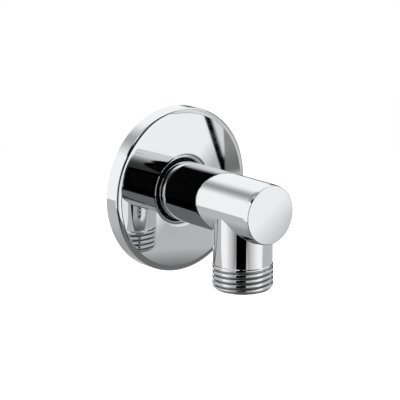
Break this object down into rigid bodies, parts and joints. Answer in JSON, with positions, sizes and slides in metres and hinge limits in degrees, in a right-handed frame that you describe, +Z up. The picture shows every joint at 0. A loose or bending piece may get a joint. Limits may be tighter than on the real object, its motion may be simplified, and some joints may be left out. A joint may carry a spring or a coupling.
{
  "type": "wall outlet elbow",
  "caption": "Round chromed wall elbow for a shower hose: a straight arm with a closed end, a threaded outlet pointing down, and a push-on round rosette that slides along the arm.",
  "frame": {"origin": "where the arm's axis meets the wall, at the plane of the rosette's rear rim and the start of the inlet thread", "axes": "+Y into the wall along the arm, +Z up, the outlet points along -Z, +X to the right seen from the room"},
  "size_m": [0.0582, 0.0646, 0.0582],
  "materials": {
    "chrome_body": "polished chrome plate on brass, bare brass in the drilled waterway",
    "chrome_rosette": "polished chrome plate on brass, duller inside the hollow back",
    "black_rubber": "matt black rubber"
  },
  "bodies": {
    "elbow": {"elbow_body": "chrome_body"},
    "rosette": {"wall_rosette": "chrome_rosette", "grip_ring": "black_rubber"}
  },
  "joints": [
    {"name": "rosette_slide", "type": "slide", "parent": "elbow", "child": "rosette", "axis": [0, -1, 0], "range_m": [0, 0.02]}
  ]
}
